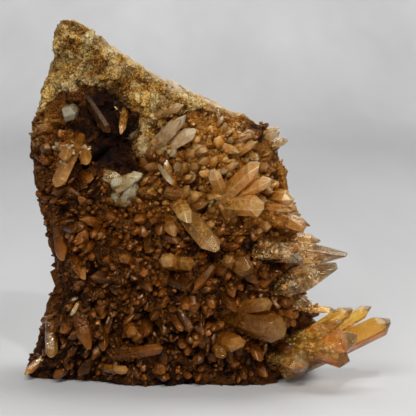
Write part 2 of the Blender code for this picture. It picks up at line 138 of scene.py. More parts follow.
# Large points, in nodes of one point or of several grown together. Each is (root x, root z, tip x, tip z, forward,
# width, flatness, roll, cap). Root and tip are places in the front view, and forward is how far the tip stands out
# from the root towards the viewer. Flatness is thickness over width, roll turns the point about its own axis in
# degrees, and cap is the pointed end's length over the width.
POINTS = {
    "drusy_prism_left": (
        (-80, 141, -90.5, 117.5, 15, 12.0, 0.75, 10, 0.3), (-75, 141, -72, 131, 12, 8.0, 0.9, 40, 0.4),
        (-83, 143, -86, 134, 14, 8.5, 1.0, 0, 0.4),
    ),
    "round_point_upper_left": ((-82, 163, -85, 160, 12, 9.5, 1.0, 15, 0.55),),
    "pocket_long_point": ((-70, 167, -59, 150, 10, 7.4, 0.9, 20, 0.4),),
    "pocket_short_point": ((-50, 161, -52, 149, 8, 5.5, 0.9, 0, 0.9),),
    "clear_sliver": ((-28, 129, -21, 119, 10, 4.6, 1.0, 0, 0.9),),
    "bright_twin_point": (
        (-31, 143, -16, 158, 15, 11.5, 0.8, 30, 0.8), (-25, 146, -13, 161, 7, 9.0, 0.7, 10, 0.7),
        (-25, 142, -7, 152, 8, 10.0, 0.6, 70, 0.5),
    ),
    "pale_ledge_point": ((-26, 162, -14, 167, 7, 7.5, 0.8, 0, 0.6),),
    "pale_quartz_patch": ((-50, 117, -49, 118, 6, 15.0, 0.8, 25, 0.3),),
    "fan_of_points": (
        (10, 112, 31, 131.5, 20, 14.0, 0.65, 60, 0.5), (13, 110, 38, 122, 17, 11.0, 0.8, 20, 0.4),
        (10, 108, 34, 106, 23, 13.5, 0.7, 80, 0.45), (9, 112, 3, 128, 15, 9.5, 0.9, 0, 0.5),
    ),
    "small_point_upper_right": ((18, 137, 30, 145, 8, 6.5, 0.8, 0, 0.9),),
    "long_blade_right": ((32, 104, 58, 92, 12, 12.5, 0.6, 80, 1.2), (33, 106, 50, 103, 10, 9.0, 0.8, 10, 0.7)),
    "round_point_right": ((42, 111, 51, 110, 8, 11.0, 1.0, 0, 0.45),),
    "east_edge_point_upper": ((49, 99, 62, 94, 3, 7.5, 0.9, 0, 0.8),),
    "east_edge_point_lower": ((48, 88, 68, 85, 4, 8.0, 0.9, 30, 0.7),),
    "sharp_point_right": ((40, 79, 84, 77, 16, 15.5, 0.8, 30, 1.15), (37, 82, 57, 73, 22, 11.0, 0.8, 0, 0.8)),
    "broad_point_right": ((46, 59, 78, 70.5, 9, 17.0, 0.7, 65, 0.9), (44, 58, 54, 57, 15, 10.0, 1.0, 0, 0.5)),
    "round_points_centre": ((18, 71.5, 24, 68, 18, 13.5, 0.9, 20, 0.5), (14, 74, 12, 72, 15, 9.0, 1.0, 0, 0.6)),
    "corner_spray": (
        (56, 12, 109.8, 37.5, 10, 16.5, 0.75, 30, 0.45), (56, 20, 98.5, 46, 5, 10.5, 0.8, 0, 0.6),
        (55, 24, 87, 45, 3, 11.5, 0.8, 20, 0.5), (54, 28, 82, 36.5, 8, 9.0, 0.8, 0, 0.6),
        (52, 20, 90, 27, 17, 19.0, 0.7, 50, 0.5), (52, 24, 84.8, 12.8, 19, 13.5, 0.85, 0, 0.35),
        (46, 16, 59, 10, 14, 17.0, 0.8, 15, 0.3),
    ),
    "east_points": ((52, 46, 79, 43, 3, 6.5, 0.8, 0, 0.9), (50, 48, 60, 48.5, 9, 9.5, 0.9, 0, 0.6)),
    "big_amber_point": ((20, 39, 47, 30, 22, 18.5, 0.8, 75, 0.45), (19, 45, 38, 48, 18, 10.5, 0.9, 0, 0.45)),
    "amber_foot_points": ((9, 27, 21, 22, 18, 12.0, 0.9, 10, 0.5), (5, 24, 10, 15, 14, 9.5, 0.9, 30, 0.6)),
    "amber_hanging_point": ((27, 23, 32, 13, 12, 8.5, 0.9, 0, 0.7),),
    "centre_point": ((-13, 103, 6, 79, 21, 13.5, 0.8, 30, 0.45), (-16, 106, -11, 96, 15, 11.0, 0.9, 0, 0.6)),
    "left_of_centre_point": ((-24, 98, -20, 88, 13, 9.5, 0.9, 0, 0.6),),
    "amber_round_points": ((-17, 71, -27, 75, 16, 11.0, 0.9, 20, 0.5), (-11, 71, -15, 73, 12, 12.0, 0.8, 0, 0.6)),
    "small_amber_point": ((-46, 73, -52, 76, 11, 8.0, 0.9, 0, 0.6),),
    "west_rusty_point": ((-64, 96, -77, 98, 8, 8.0, 0.9, 0, 0.8),),
    "west_short_point": ((-69, 85, -74, 78, 9, 7.0, 0.9, 0, 0.8),),
    "notch_rusty_point": ((-77, 71, -74, 62, 8, 8.5, 0.8, 0, 0.7),),
    "west_edge_point": ((-88, 87, -87, 73, 6, 9.0, 0.9, 0, 0.7),),
    "long_point_lower_left": ((-75.5, 40, -71, 20, 12, 11.5, 0.75, 15, 0.8),),
    "wide_point_lower_left": ((-88.5, 61, -82.5, 46.5, 11, 10.5, 0.75, 0, 0.5),),
    "west_corner_points": (
        (-94, 32, -93.5, 15, 9, 8.0, 0.9, 0, 0.45), (-95, 37, -83, 34.5, 13, 6.5, 0.9, 0, 0.5),
    ),
    "west_foot_point": ((-101, 13, -110, 5, 4, 7.0, 0.8, 0, 0.7),),
    "round_point_foot": ((-47, 34, -44.5, 29, 14, 8.2, 1.0, 0, 0.5),),
    "lying_point_foot": ((-50, 17, -27, 21, 14, 10.0, 0.8, 0, 0.5),),
    "pale_point_foot": ((-60, 9, -48, 7.5, 12, 7.0, 0.8, 0, 0.5),),
}


def ramp(x, start, end):
    """0 at start, 1 at end, and smooth in between."""
    t = min(1.0, max(0.0, (x - start) / (end - start)))
    return t * t * (3 - 2 * t)


def sight(x, z):
    """The direction in which the eye sees the place (x, z) of the front view."""
    return (MIDDLE + Vector((x, 0, 0)) + UP * (z - MIDDLE.z) - EYE).normalized()


def along_sight(x, z, y):
    """The point at depth y that the eye sees at (x, z)."""
    direction = sight(x, z)
    return EYE + direction * ((y - EYE.y) / direction.y)


def depths_at(x, z):
    """How far the front and the back of the plate are from its middle plane."""
    low, high = next(pair for pair in zip(DEPTHS, DEPTHS[1:]) if z <= pair[1][0] or pair[1] is DEPTHS[-1])
    t = (z - low[0]) / (high[0] - low[0])
    front, back = (low[k] + (high[k] - low[k]) * t for k in (1, 2))
    start, end, least = WING_THINS
    thin = least + (1 - least) * ramp(x, start, end)
    start, end, least = EAST_THINS
    thin *= least + (1 - least) * ramp(x, start, end)
    front *= thin
    back *= thin
    for at_x, at_z, wide, high_r, rise in SWELLS:
        far = ((x - at_x) / wide) ** 2 + ((z - at_z) / high_r) ** 2
        front += rise * math.exp(-far)
    return max(front, 4.0), back


def even_outline():
    """The outline at RIM_POINTS places, evenly spaced along it."""
    corners = [Vector(p) for p in OUTLINE] + [Vector(OUTLINE[0])]
    lengths = [(b - a).length for a, b in zip(corners, corners[1:])]
    total, points = sum(lengths), []
    for k in range(RIM_POINTS):
        left = total * k / RIM_POINTS
        for side, (a, b) in zip(lengths, zip(corners, corners[1:])):
            if left <= side:
                points.append(a.lerp(b, left / side))
                break
            left -= side
    return points


def plate_mesh():
    """The plain plate, made of rings of points between its front and its back."""
    bm = bmesh.new()
    rim = even_outline()
    centre = Vector(STAR_CENTRE)

    def vertex(flat, side):
        front, back = depths_at(flat.x, flat.y)
        return bm.verts.new(along_sight(flat.x, flat.y, side * (front if side < 0 else back)))

    rings = [[vertex(centre.lerp(p, size), side) for p in rim] for size, side in RINGS]
    ends = [vertex(centre, -1.0), vertex(centre, 1.0)]
    sides = [(k, (k + 1) % RIM_POINTS) for k in range(RIM_POINTS)]
    for one, two in zip(rings, rings[1:]):
        for k, n in sides:
            bm.faces.new((one[k], one[n], two[n], two[k]))
    for k, n in sides:
        bm.faces.new((ends[0], rings[0][n], rings[0][k]))
        bm.faces.new((ends[1], rings[-1][k], rings[-1][n]))
    bmesh.ops.recalc_face_normals(bm, faces=bm.faces)
    return bm


def linked(name, data):
    """A new object in the scene that holds this data."""
    obj = bpy.data.objects.new(name, data)
    bpy.context.scene.collection.objects.link(obj)
    return obj


def object_of(name, bm):
    """A new object that holds this mesh."""
    mesh = bpy.data.meshes.new(name)
    bm.to_mesh(mesh)
    bm.free()
    return linked(name, mesh)


def settle(obj):
    """Replaces the object's mesh by what its modifiers make of it."""
    graph = bpy.context.evaluated_depsgraph_get()
    made = bpy.data.meshes.new_from_object(obj.evaluated_get(graph))
    obj.modifiers.clear()
    obj.data = made
    return obj


def rises_at(p, facets, lift):
    """How far each size of broken facets stands out at p."""
    for size, tilt, step in facets:
        middle = noise.voronoi(p / size)[1][0] * size
        lean = noise.noise_vector(middle / 7.0 + Vector((31.0, 7.0, 3.0)))
        yield tilt * lean.dot(p - middle) * 2 + step * noise.noise(middle / 5.0) * lift


def lumps_at(p):
    """How far the broken surface stands out of the plain plate at p."""
    return sum(rises_at(p, ROCK_FACETS, 1), sum(high * noise.noise(p / wide) for wide, high in ROCK_LUMPS))


def rim_share(normal):
    """The share of the roughness that a place keeps, by which way it faces."""
    return RIM_LUMPS + (1 - RIM_LUMPS) * ramp(abs(normal.y), 0.25, 0.9)


def voxel_plate(name, voxel):
    """The plain plate as an object, meshed evenly in voxels of this size."""
    noise.seed_set(NOISE_SEED)
    rock = object_of(name, plate_mesh())
    remesh = rock.modifiers.new("even_faces", "REMESH")
    remesh.mode = "VOXEL"
    remesh.voxel_size = voxel
    return settle(rock)


def cut_foot(bm):
    """Cuts the mesh off flat at the foot and closes it there."""
    cut = bmesh.ops.bisect_plane(
        bm, geom=bm.verts[:] + bm.edges[:] + bm.faces[:], plane_co=(0, 0, FOOT_HEIGHT), plane_no=(0, 0, -1),
        clear_outer=True,
    )
    rim = [e for e in cut["geom_cut"] if isinstance(e, bmesh.types.BMEdge)]
    bmesh.ops.holes_fill(bm, edges=rim)


def bare_rock():
    """The rock without crystals, rough but with few faces, cut off flat at the foot."""
    rock = voxel_plate("coarse_rock", ROCK_VOXEL)
    mesh = rock.data
    moved = [v.co + v.normal * lumps_at(v.co) * rim_share(v.normal) for v in mesh.vertices]
    for v, co in zip(mesh.vertices, moved):
        v.co = co
    thin = rock.modifiers.new("fewer_faces", "DECIMATE")
    mesh.calc_loop_triangles()
    thin.ratio = ROCK_TRIANGLES / len(mesh.loop_triangles)
    thin.use_collapse_triangulate = True
    settle(rock)
    bm = bmesh.new()
    bm.from_mesh(rock.data)
    cut_foot(bm)
    bmesh.ops.triangulate(bm, faces=bm.faces)
    bm.to_mesh(rock.data)
    bm.free()
    return rock


def uneven(rng):
    """How much each side's end face is lifted or lowered, as a share of the pointed end."""
    return tuple(rng.uniform(-0.3, 0.3) for _ in range(6))


def inside(x, z, corners):
    """Whether (x, z) lies in the closed outline."""
    hits = 0
    for (ax, az), (bx, bz) in zip(corners, corners[1:] + corners[:1]):
        if (az > z) != (bz > z) and x < ax + (z - az) * (bx - ax) / (bz - az):
            hits += 1
    return hits % 2 == 1


def grid(x_range, z_range, rng):
    """Places on a loose grid, each moved a little at random."""
    rows = int((z_range[1] - z_range[0]) / DRUSE_STEP)
    columns = int((x_range[1] - x_range[0]) / DRUSE_STEP)
    for row in range(rows + 1):
        for column in range(columns + 1):
            shift = 0.5 * (row % 2)
            x = x_range[0] + (column + shift + rng.uniform(-0.3, 0.3)) * DRUSE_STEP
            z = z_range[0] + (row + rng.uniform(-0.3, 0.3)) * DRUSE_STEP
            yield x, z


def druse_rays(rng):
    """Sight lines to the druse: (start, direction) from the viewer over the front, and from the east."""
    xs, zs = zip(*DRUSE_FIELD)
    for x, z in grid((min(xs), max(xs)), (min(zs), max(zs)), rng):
        if inside(x, z, DRUSE_FIELD) and all(math.hypot(x - a, z - b) > r for a, b, r in CLEARINGS):
            yield EYE, sight(x, z)
    for y, z in grid(*EAST_FIELD, rng):
        yield Vector((-EYE.y, y, z)), Vector((-1, 0, 0))


def random_vector(rng, most):
    """A vector with each part at random up to this number, either way."""
    return Vector([rng.uniform(-most, most) for _ in range(3)])


def growth_direction(at, normal, rng):
    """Points stand out from the rock and fan away from the middle of the front."""
    out = Vector((at.x - GROWTH_CENTRE[0], 0, at.z - GROWTH_CENTRE[1])) / GROWTH_SPREAD
    return (normal + out + random_vector(rng, GROWTH_STRAY)).normalized()


def far_from(a, b, p):
    """Distance of p from the stretch a to b."""
    t = max(0.0, min(1.0, (p - a).dot(b - a) / (b - a).length_squared))
    return (a.lerp(b, t) - p).length


def druse(tree, large, rng):
    """(root, tip, width, roll, lifts) of each small point that stays clear of the large ones."""
    for start, direction in druse_rays(rng):
        at, normal, _, _ = tree.ray_cast(start, direction)
        width = rng.uniform(*DRUSE_WIDTH)
        height = width * rng.uniform(*DRUSE_HEIGHT)
        roll = rng.uniform(0, 60)
        lifts = uneven(rng)
        if at is None:
            continue
        tip = at + growth_direction(at, normal, rng) * height
        clear = all(
            min(far_from(a, b, at), far_from(a, b, tip)) > DRUSE_CLEAR * (wide + width) / 2 for a, b, wide in large
        )
        if clear and min(at.z, tip.z) > FOOT_HEIGHT + width / 2:
            yield at, tip, width, roll, lifts


def placed(tree, point):
    """Root and tip of a large point, in the plate's own frame."""
    root_x, root_z, tip_x, tip_z, forward = point[:5]
    root, _, _, _ = tree.ray_cast(EYE, sight(root_x, root_z))
    if root is None:
        raise ValueError(f"no rock behind {root_x}, {root_z}")
    return root, along_sight(tip_x, tip_z, root.y - forward)


# A millimetre in metres.
MM = 0.001

# The skin's voxel, and its finer facets and lumps: (cell size, tilt, step) and (size, height).
FINE_VOXEL = 1.25
FINE_FACETS = ((12.0, 0.14, 1.7), (5.5, 0.22, 1.1), (2.9, 0.08, 0.15))
FINE_LUMPS = ((4.0, 0.8), (1.9, 0.35))
# The size of the waves that bend the finer facets, and how far they do.
FINE_WAVES = (5.0, 2.2)
# The share of the fine detail that is left at the rim, and the share that the smooth top face loses.
FINE_RIM = 0.85
TOP_SMOOTH = 0.6
# The lower edge of the bare rock in the front view.
BARE_LINE = (
    (-120, 168), (-100, 165), (-90, 172), (-76, 178), (-62, 176), (-50, 170), (-38, 158), (-28, 154),
    (-18, 162), (4, 164), (22, 160), (36, 158), (44, 156), (56, 156),
)
# Rocky patches between the crystals: (x, z, radius in x, radius in z, amount).
ROCKY = ((-38, 146, 9, 15, 0.9), (-104, 150, 8, 14, 0.5), (-60, 128, 8, 5, 0.5), (20, 154, 6, 5, 0.5))
# The dark pocket, where shade is painted into the rock's colour: (x, z, radius in x, radius in z).
CAVITY = ((-58, 150, 16, 24), (-50, 128, 15, 12), (-64, 168, 9, 10))
# Where the crystals are pale rather than rusty in the front view: (x, z, radius in x, radius in z, amount).
PALE_AREAS = (
    (12, 148, 36, 20, 0.85), (22, 118, 26, 18, 0.8), (-18, 122, 24, 22, 0.35), (-92, 148, 16, 16, 0.3),
    (50, 100, 22, 22, 0.6), (28, 36, 20, 12, 0.4), (92, 28, 34, 26, 0.95), (-5, 95, 40, 22, 0.25),
    (66, 74, 30, 14, 0.6), (-50, 118, 12, 12, 0.4), (30, 152, 7, 16, -0.7), (46, 146, 6, 12, 0.5),
    (34, 122, 8, 8, -0.4), (55, 32, 13, 12, -1.1), (54, 12, 12, 6, 1.2), (36, 70, 22, 16, -0.7),
)
# How pale the points of a node are, where that differs from their surroundings.
PALE_NODES = {
    "round_point_upper_left": 1.2, "pale_quartz_patch": 0.9, "clear_sliver": 1.4, "bright_twin_point": 1.0,
    "drusy_prism_left": 0.9, "pale_ledge_point": 0.6, "fan_of_points": 0.45, "centre_point": 0.65,
    "round_points_centre": 0.4, "amber_round_points": 0.6, "big_amber_point": 0.6, "sharp_point_right": 1.0,
    "broad_point_right": 0.7, "pocket_short_point": 0.3, "pale_point_foot": 0.6, "corner_spray": 1.0,
    "pocket_long_point": 0.0, "long_blade_right": 0.15,
}

# A crystal's corners stray by this many degrees, to these shares of its radius.
CORNER_TURN = 9
CORNER_REACH = (0.86, 1.08)
# The sizes of its three rings, how far up the middle one is, and how much that one's size strays.
RING_SIZES = (0.9, 1.0, 0.95)
MIDDLE_RING = 0.55
RING_STRAY = 0.04
# The pointed end takes up at most this share of a crystal.
MOST_CAP = 0.6
# Flatness and ridge of the small crystals in patches, skirts and clumps.
SMALL_FLATNESS = 0.8
SMALL_RIDGE = 0.3
# The widths of worn edges: of the large points, of the druse and of its crust.
POINT_EDGE = 0.3
DRUSE_EDGE = 0.7
CRUST_EDGE = 0.4
# Edges that turn by more than this many degrees are worn.
WORN_FROM = 25
# How many small crystals stand in for the pale patch.
PATCH_CRYSTALS = 11
LOOKS_SEED = 11

# Crystals paler than this are honey coloured, and the others are rusty.
HONEY_FROM = 0.3
# Below this height the rusty crust is a piece of its own, so that each piece stays a light mesh.
LOWER_END = 62.0
# In a coat of small druse each place strays by this share of the step, and rows are this share of it apart.
PLACE_STRAY = 0.45
ROW_SHARE = 0.87
# Noise of these sizes crowds the druse and varies its width. Below SPARSE most of the druse is left out.
CROWD_SIZE = 9.0
WIDTH_SIZE = 17.0
SPARSE = -0.2
SPARSE_LOSS = 0.75
# A crystal whose draw is above this has a twin with this share of its width.
TWIN_FROM = 0.6
TWIN_WIDTH = 0.7
# The ranges of flatness, of cap length over width, and of ridge in a coat.
COAT_FLATNESS = (0.7, 1.0)
COAT_CAP = (0.28, 0.6)
COAT_RIDGE = (0.2, 0.55)
# How much a crystal's paleness strays before its kind is picked, and the share of each clearing that stays free.
KIND_STRAY = 0.15
FREE_SHARE = 0.8
# Where the crust grows in the front view. It reaches nearer to the edges than the rest.
FINE_FIELD = (
    (-106, 164), (-84, 160), (-76, 140), (-60, 124), (-42, 124), (-34, 138), (-26, 152), (-18, 160), (4, 162),
    (26, 160), (40, 156), (48, 148), (52, 134), (56, 118), (60, 92), (60, 62), (68, 36), (70, 3), (-108, 3),
    (-98, 38), (-91, 58), (-90, 68), (-95, 86), (-101, 106), (-106, 130), (-108, 145),
)
# The points' coat reaches down to the foot.
LOW_FIELD = [(x, min(z, 4) if z < 30 else z) for x, z in DRUSE_FIELD]
# Both coats. Heights are shares of the width, clear is how far they keep from the large points, as a share of
# those points' radius, and wild is how much they lean at random.
POINTS_COAT = {
    "field": LOW_FIELD, "step": 7.6, "widths": (4.2, 9.0), "heights": (0.45, 1.2), "clear": 0.9, "wild": 0.25,
}
CRUST_COAT = {
    "field": FINE_FIELD, "step": 4.6, "widths": (2.0, 4.8), "heights": (0.35, 0.95), "clear": 0.5, "wild": 0.38,
}
POINTS_SEED = 21
CRUST_SEED = 22
# Small crystals on the named ones: (node, from, to along it, number, width, paleness).
SKIRTS = (
    ("drusy_prism_left", 0.0, 0.5, 60, 2.8, 1.1), ("pale_ledge_point", 0.0, 0.5, 14, 2.4, 0.7),
    ("fan_of_points", 0.0, 0.25, 26, 2.8, 0.5), ("centre_point", 0.0, 0.3, 12, 2.6, 0.4),
    ("bright_twin_point", 0.0, 0.3, 10, 2.4, 0.9), ("long_blade_right", 0.0, 0.8, 36, 2.3, 0.6),
    ("sharp_point_right", 0.1, 0.7, 30, 2.2, 0.8), ("broad_point_right", 0.1, 0.7, 30, 2.2, 0.8),
    ("corner_spray", 0.0, 0.25, 40, 3.0, 0.6), ("big_amber_point", 0.0, 0.3, 16, 3.0, 0.2),
    ("east_points", 0.0, 0.5, 20, 2.6, 0.7), ("long_point_lower_left", 0.0, 0.3, 10, 2.6, 0.0),
    ("lying_point_foot", 0.0, 0.4, 12, 2.6, 0.1),
)
SKIRT_SEED = 40
# Skirt crystals stay this far inside the node's box, and shorter ones than this are left out.
SKIRT_MARGIN = 0.5
SKIRT_LEAST = 0.4
# Clumps of pale crystals among the druse in the front view: (x, z, width, number, paleness).
PALE_CLUMPS = (
    (-82, 46.5, 4.5, 2, 0.8), (8, 156, 5.0, 3, 0.6), (12, 144, 5.5, 3, 0.4), (37, 146, 6.0, 6, 1.2),
    (44, 150, 5.0, 5, 1.3), (46, 141, 5.0, 4, 1.2), (-50, 111, 4.0, 5, 0.9), (-10, 150, 5.0, 3, 0.5),
    (-14, 128, 5.2, 3, 0.4), (-24, 134, 5.0, 3, 0.7), (26, 138, 5.0, 3, 0.4), (2, 108, 5.5, 3, 0.1),
    (-8, 92, 5.5, 4, 0.2), (-16, 104, 5.2, 3, 0.0), (60, 50, 4.5, 5, 0.9), (53, 60, 4.0, 4, 0.6),
    (54, 12, 5.0, 6, 1.0), (62, 9, 4.5, 5, 1.0), (-88, 143, 4.0, 4, 1.0), (-76, 140, 4.0, 4, 0.9),
    (10, 126, 5.5, 3, 0.3), (-2, 138, 5.5, 3, 0.4), (22, 148, 4.0, 3, 0.2),
)
CLUMP_SEED = 77

# Colours of the rock from its hollows to its ridges: (place, colour). The level follows how far a place rises, so
# the dark ends are painted shade in the hollows and the pale ends painted light on the ridges, mixed with the
# rock's own grain.
CREAM_ROCK = (
    (0.2, (0.10, 0.038, 0.006)), (0.40, (0.40, 0.225, 0.065)), (0.58, (0.64, 0.44, 0.17)),
    (0.85, (0.93, 0.77, 0.46)),
)
GOLDEN_ROCK = (
    (0.2, (0.07, 0.021, 0.0025)), (0.40, (0.34, 0.135, 0.017)), (0.58, (0.60, 0.32, 0.055)),
    (0.85, (0.90, 0.64, 0.24)),
)
OLIVE_ROCK = (
    (0.2, (0.08, 0.038, 0.008)), (0.42, (0.29, 0.175, 0.048)), (0.6, (0.48, 0.335, 0.11)),
    (0.85, (0.78, 0.61, 0.29)),
)
RUSTY_CRUST = (
    (0.28, (0.012, 0.0035, 0.0004)), (0.46, (0.045, 0.012, 0.001)), (0.60, (0.105, 0.030, 0.0025)),
    (0.80, (0.23, 0.078, 0.008)),
)
HONEY_CRUST = (
    (0.26, (0.06, 0.014, 0.0008)), (0.46, (0.23, 0.062, 0.0028)), (0.60, (0.42, 0.145, 0.011)),
    (0.80, (0.66, 0.34, 0.065)),
)
# Colours of the ledge, the up-facing top face, painted cream as painted light from above.
LIT_LEDGE = (
    (0.3, (0.46, 0.22, 0.07)), (0.45, (0.74, 0.52, 0.28)), (0.60, (0.86, 0.74, 0.54)),
    (0.75, (0.66, 0.36, 0.14)),
)
DARK_GRAIN = (0.10, 0.045, 0.012)
VEIN = (0.14, 0.058, 0.012)
# The colour of the painted shade in the pocket and low on the front.
POCKET_SHADE = (0.22, 0.15, 0.09)

# Colours of quartz, each as (root, body, tip).
DARK = ((0.020, 0.0055, 0.0004), (0.070, 0.0185, 0.0014), (0.17, 0.053, 0.007))
RUSTY = ((0.08, 0.019, 0.0012), (0.25, 0.065, 0.0048), (0.46, 0.168, 0.028))
DEEP = ((0.17, 0.045, 0.0025), (0.42, 0.14, 0.014), (0.68, 0.34, 0.085))
AMBER = ((0.26, 0.075, 0.004), (0.58, 0.23, 0.026), (0.86, 0.52, 0.16))
GOLDEN = ((0.60, 0.21, 0.014), (0.86, 0.48, 0.10), (0.96, 0.74, 0.35))
BEIGE = ((0.42, 0.138, 0.009), (0.71, 0.34, 0.062), (0.87, 0.60, 0.25))
# The pocket's crystal: its own reddish brown, darkened as painted shade.
SHADED_BROWN = ((0.012, 0.004, 0.0008), (0.035, 0.011, 0.002), (0.08, 0.028, 0.006))
LIGHT = ((0.72, 0.36, 0.06), (0.95, 0.68, 0.28), (1.0, 0.90, 0.62))
SHARP = ((0.75, 0.40, 0.08), (0.95, 0.74, 0.36), (1.0, 0.94, 0.80))
SPRAY = ((0.84, 0.41, 0.028), (0.95, 0.62, 0.13), (1.0, 0.84, 0.50))
WHITE = ((0.78, 0.42, 0.11), (0.93, 0.70, 0.38), (1.0, 0.90, 0.72))
MILKY = ((0.66, 0.46, 0.15), (0.82, 0.74, 0.46), (0.95, 0.94, 0.80))
# Tints of its reflection.
WARM = (1.0, 0.62, 0.34)
HONEY = (1.0, 0.82, 0.6)
# Colours of flakes: golden flakes, and white flakes that are partly veils in the quartz and partly painted glints.
GOLDEN_FLAKE = (0.62, 0.26, 0.018)
WHITE_FLAKE_AND_GLINT = (1.0, 0.93, 0.76)
QUARTZ_IOR = 1.54
# How far light spreads in milky quartz, by colour and in metres.
MILKY_RADIUS = (1.0, 0.8, 0.55)
MILKY_SCALE = 0.0014
# Each finish: its share of see-through glass, its share of milky glow, the colours of its darkest and palest
# crystals, its range of roughness, its reflection as (strength, tint), its inner colour as (density, tint), and its
# flakes as (golden, white, size of golden).
FINISHES = {
    # The pocket's crystal is darkened, as painted shade.
    "cave_quartz": (0.3, 0.2, SHADED_BROWN, RUSTY, (0.15, 0.45), (0.12, WARM)),
    "rusty_druse": (0.2, 0.4, DARK, RUSTY, (0.08, 0.34), (0.35, WARM)),
    "honey_druse": (0.6, 0.4, RUSTY, BEIGE, (0.06, 0.3), (0.35, WARM)),
    "golden_quartz": (
        0.75, 0.3, AMBER, GOLDEN, (0.03, 0.14), (0.5, HONEY), (60.0, (1.0, 0.72, 0.13)), (0.5, 0.0, 3.0),
    ),
    "flaky_quartz": (
        0.95, 0.2, GOLDEN, SHARP, (0.02, 0.12), (0.5, HONEY), (60.0, (1.0, 0.76, 0.25)), (0.7, 0.9, 1.5),
    ),
    "honey_quartz": (
        0.93, 0.1, GOLDEN, SPRAY, (0.02, 0.1), (0.45, HONEY), (230.0, (1.0, 0.82, 0.08)), (0.45, 0.45, 2.6),
    ),
    "milky_quartz": (
        0.75, 0.3, GOLDEN, MILKY, (0.02, 0.12), (0.6, HONEY), (10.0, (1.0, 0.94, 0.7)), (0.2, 0.3, 3.0),
    ),
    "rusty_quartz": (0.6, 0.35, RUSTY, AMBER, (0.06, 0.25), (0.35, WARM)),
    "amber_quartz": (
        0.72, 0.45, DEEP, AMBER, (0.02, 0.1), (0.5, HONEY), (25.0, (1.0, 0.6, 0.12)), (0.12, 0.0, 3.0),
    ),
    "light_quartz": (
        0.75, 0.3, GOLDEN, WHITE, (0.02, 0.12), (0.6, HONEY), (12.0, (1.0, 0.75, 0.4)), (0.3, 0.2, 3.0),
    ),
    # The worn edges of golden points, in a colour of their own: a painted highlight along them.
    "highlit_golden_edges": (0.7, 0.3, AMBER, LIGHT, (0.05, 0.2), (0.5, HONEY)),
}
# The nodes that have another finish than the one named like their slot.
NODES_OF = {
    "cave_quartz": ("pocket_long_point",),
    "light_quartz": ("bright_twin_point", "clear_sliver", "pale_ledge_point"),
    "flaky_quartz": (
        "sharp_point_right", "broad_point_right", "east_points", "east_edge_point_upper", "east_edge_point_lower",
    ),
    "honey_quartz": ("corner_spray",),
    "milky_quartz": ("pale_quartz_patch", "round_point_upper_left"),
    "amber_quartz": (
        "round_points_centre", "amber_round_points", "big_amber_point", "left_of_centre_point",
        "drusy_prism_left", "pale_point_foot", "amber_foot_points",
    ),
}
FINISH_OF = {node: finish for finish, nodes in NODES_OF.items() for node in nodes}
SLOT_OF = {entry["node"]: entry["material_slot"] for entry in frame["record"]["subparts"]}
# Finishes whose worn edges get a painted highlight.
EDGED_FINISHES = ("golden_quartz", "light_quartz")

# The backdrop, in metres: a floor from FLOOR_START to FLOOR_END, a bend of this radius, and a wall.
FLOOR_START = -4.0
FLOOR_END = 2.0
BEND = 1.2
BEND_STEPS = 16
WALL_TOP = 6.0
HALF_WIDTH = 6.0
# Its paper: the sizes of its folds, and the greys of their dark and light sides near the object and far behind it.
# The folds are painted shade and light on flat paper, and the paper far behind is painted lighter, as painted
# light.
FOLD_SIZE = 200.0
FOLD_STRETCH = (1.0, 0.16, 1.0)
NEAR_PAPER = ((0.3, (0.47, 0.47, 0.472)), (0.7, (0.55, 0.55, 0.555)))
LIT_FAR_PAPER = ((0.3, (0.66, 0.66, 0.662)), (0.7, (0.82, 0.82, 0.825)))
# Painted shade: the paper in front of the object is darker.
SHADED_FRONT_PAPER = (0.27, 0.27, 0.272)
DAYLIGHT = (1.0, 1.0, 1.0)
SOFT_LIGHT = (1.0, 0.98, 0.95)
# Each light: its name, its place, what it points at, its diameter, its power and its colour.
LIGHTS = (
    ("window_above", (0.5, 0.35, 1.5), (0, 0.1, 0.05), 1.0, 14.0, DAYLIGHT),
    ("front_above", (-0.3, -1.25, 0.95), (0, 0, 0.1), 0.6, 14.0, SOFT_LIGHT),
    ("front_right", (0.9, -1.2, 0.5), (0, 0, 0.1), 0.7, 7.0, SOFT_LIGHT),
    ("back_above", (0.0, 2.7, 2.2), (0.0, 2.7, 0.0), 2.2, 36.0, DAYLIGHT),
    ("sparkle", (0.15, -0.9, 0.9), (0, 0, 0.1), 0.06, 4.5, DAYLIGHT),
)
# The room's light, from dark behind the viewer to grey beyond the backdrop.
ROOM = ((0.3, (0.05, 0.05, 0.05)), (0.75, (0.45, 0.45, 0.45)))
LENS = 160.0
SENSOR = 36.0
PICTURE_WIDTH = 416


def shown(place):
    """A place in the plate's own frame, in metres of the shared frame."""
    return (Vector(place) - BASE_CENTRE) * MM


def own_corners(box):
    """Both corners of a box in the shared frame, in the plate's own frame."""
    return [Vector(corner) / MM + BASE_CENTRE for corner in box]


CAD_LOW, CAD_HIGH = own_corners(CAD_BOX)


def front_place(p):
    """Where the eye sees the point p: (x, z) in the front view."""
    ray = p - EYE
    flat = EYE + ray * ((MIDDLE - EYE).length / ray.dot(AHEAD))
    return flat.x, MIDDLE.z + (flat - MIDDLE).dot(UP)


def spots_at(spots, x, z):
    """The sum of soft spots at (x, z). Each is (x, z, radius in x, radius in z, amount)."""
    return sum(most * math.exp(-((x - a) / r) ** 2 - ((z - b) / s) ** 2) for a, b, r, s, most in spots)


def paleness(place):
    """How pale a crystal is by its place."""
    return max(0.0, min(1.0, spots_at(PALE_AREAS, *front_place(place))))


def set_numbers(mesh, key, values):
    """Gives each vertex its number of this name."""
    mesh.attributes.new(key, "FLOAT", "POINT").data.foreach_set("value", values)


def held(place, low, high, margin=0.0):
    """The place, moved into the box between two corners, this far from its sides."""
    return Vector([min(max(value, a + margin), b - margin) for value, a, b in zip(place, low, high)])


